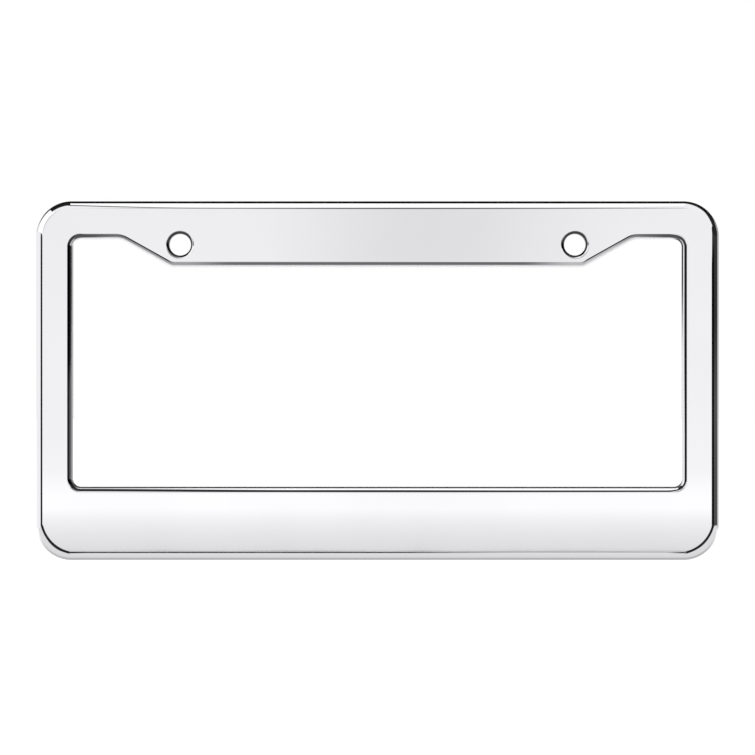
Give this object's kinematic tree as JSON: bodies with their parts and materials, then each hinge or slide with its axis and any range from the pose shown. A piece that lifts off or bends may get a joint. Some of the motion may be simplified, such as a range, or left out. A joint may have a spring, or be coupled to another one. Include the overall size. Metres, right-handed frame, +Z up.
{
  "type": "number plate holder",
  "caption": "Mirror-polished pressed-metal frame that screws over a number plate: turned-back rim, open window with stepped upper corners, drawn screw holes in the top bar.",
  "frame": {"origin": "midway between the screw holes, in the plane where the lip and the screw collars bear on the plate", "axes": "+X to the right as seen from the front, +Y to the back, towards the car, and +Z up; the polished front looks along -Y"},
  "size_m": [0.308, 0.0085, 0.162],
  "materials": {
    "polished_steel": "mirror polished on the front, the rim and the lip; satin mill finish on the hidden back"
  },
  "bodies": {
    "root": {"plate_frame": "polished_steel"}
  },
  "joints": []
}
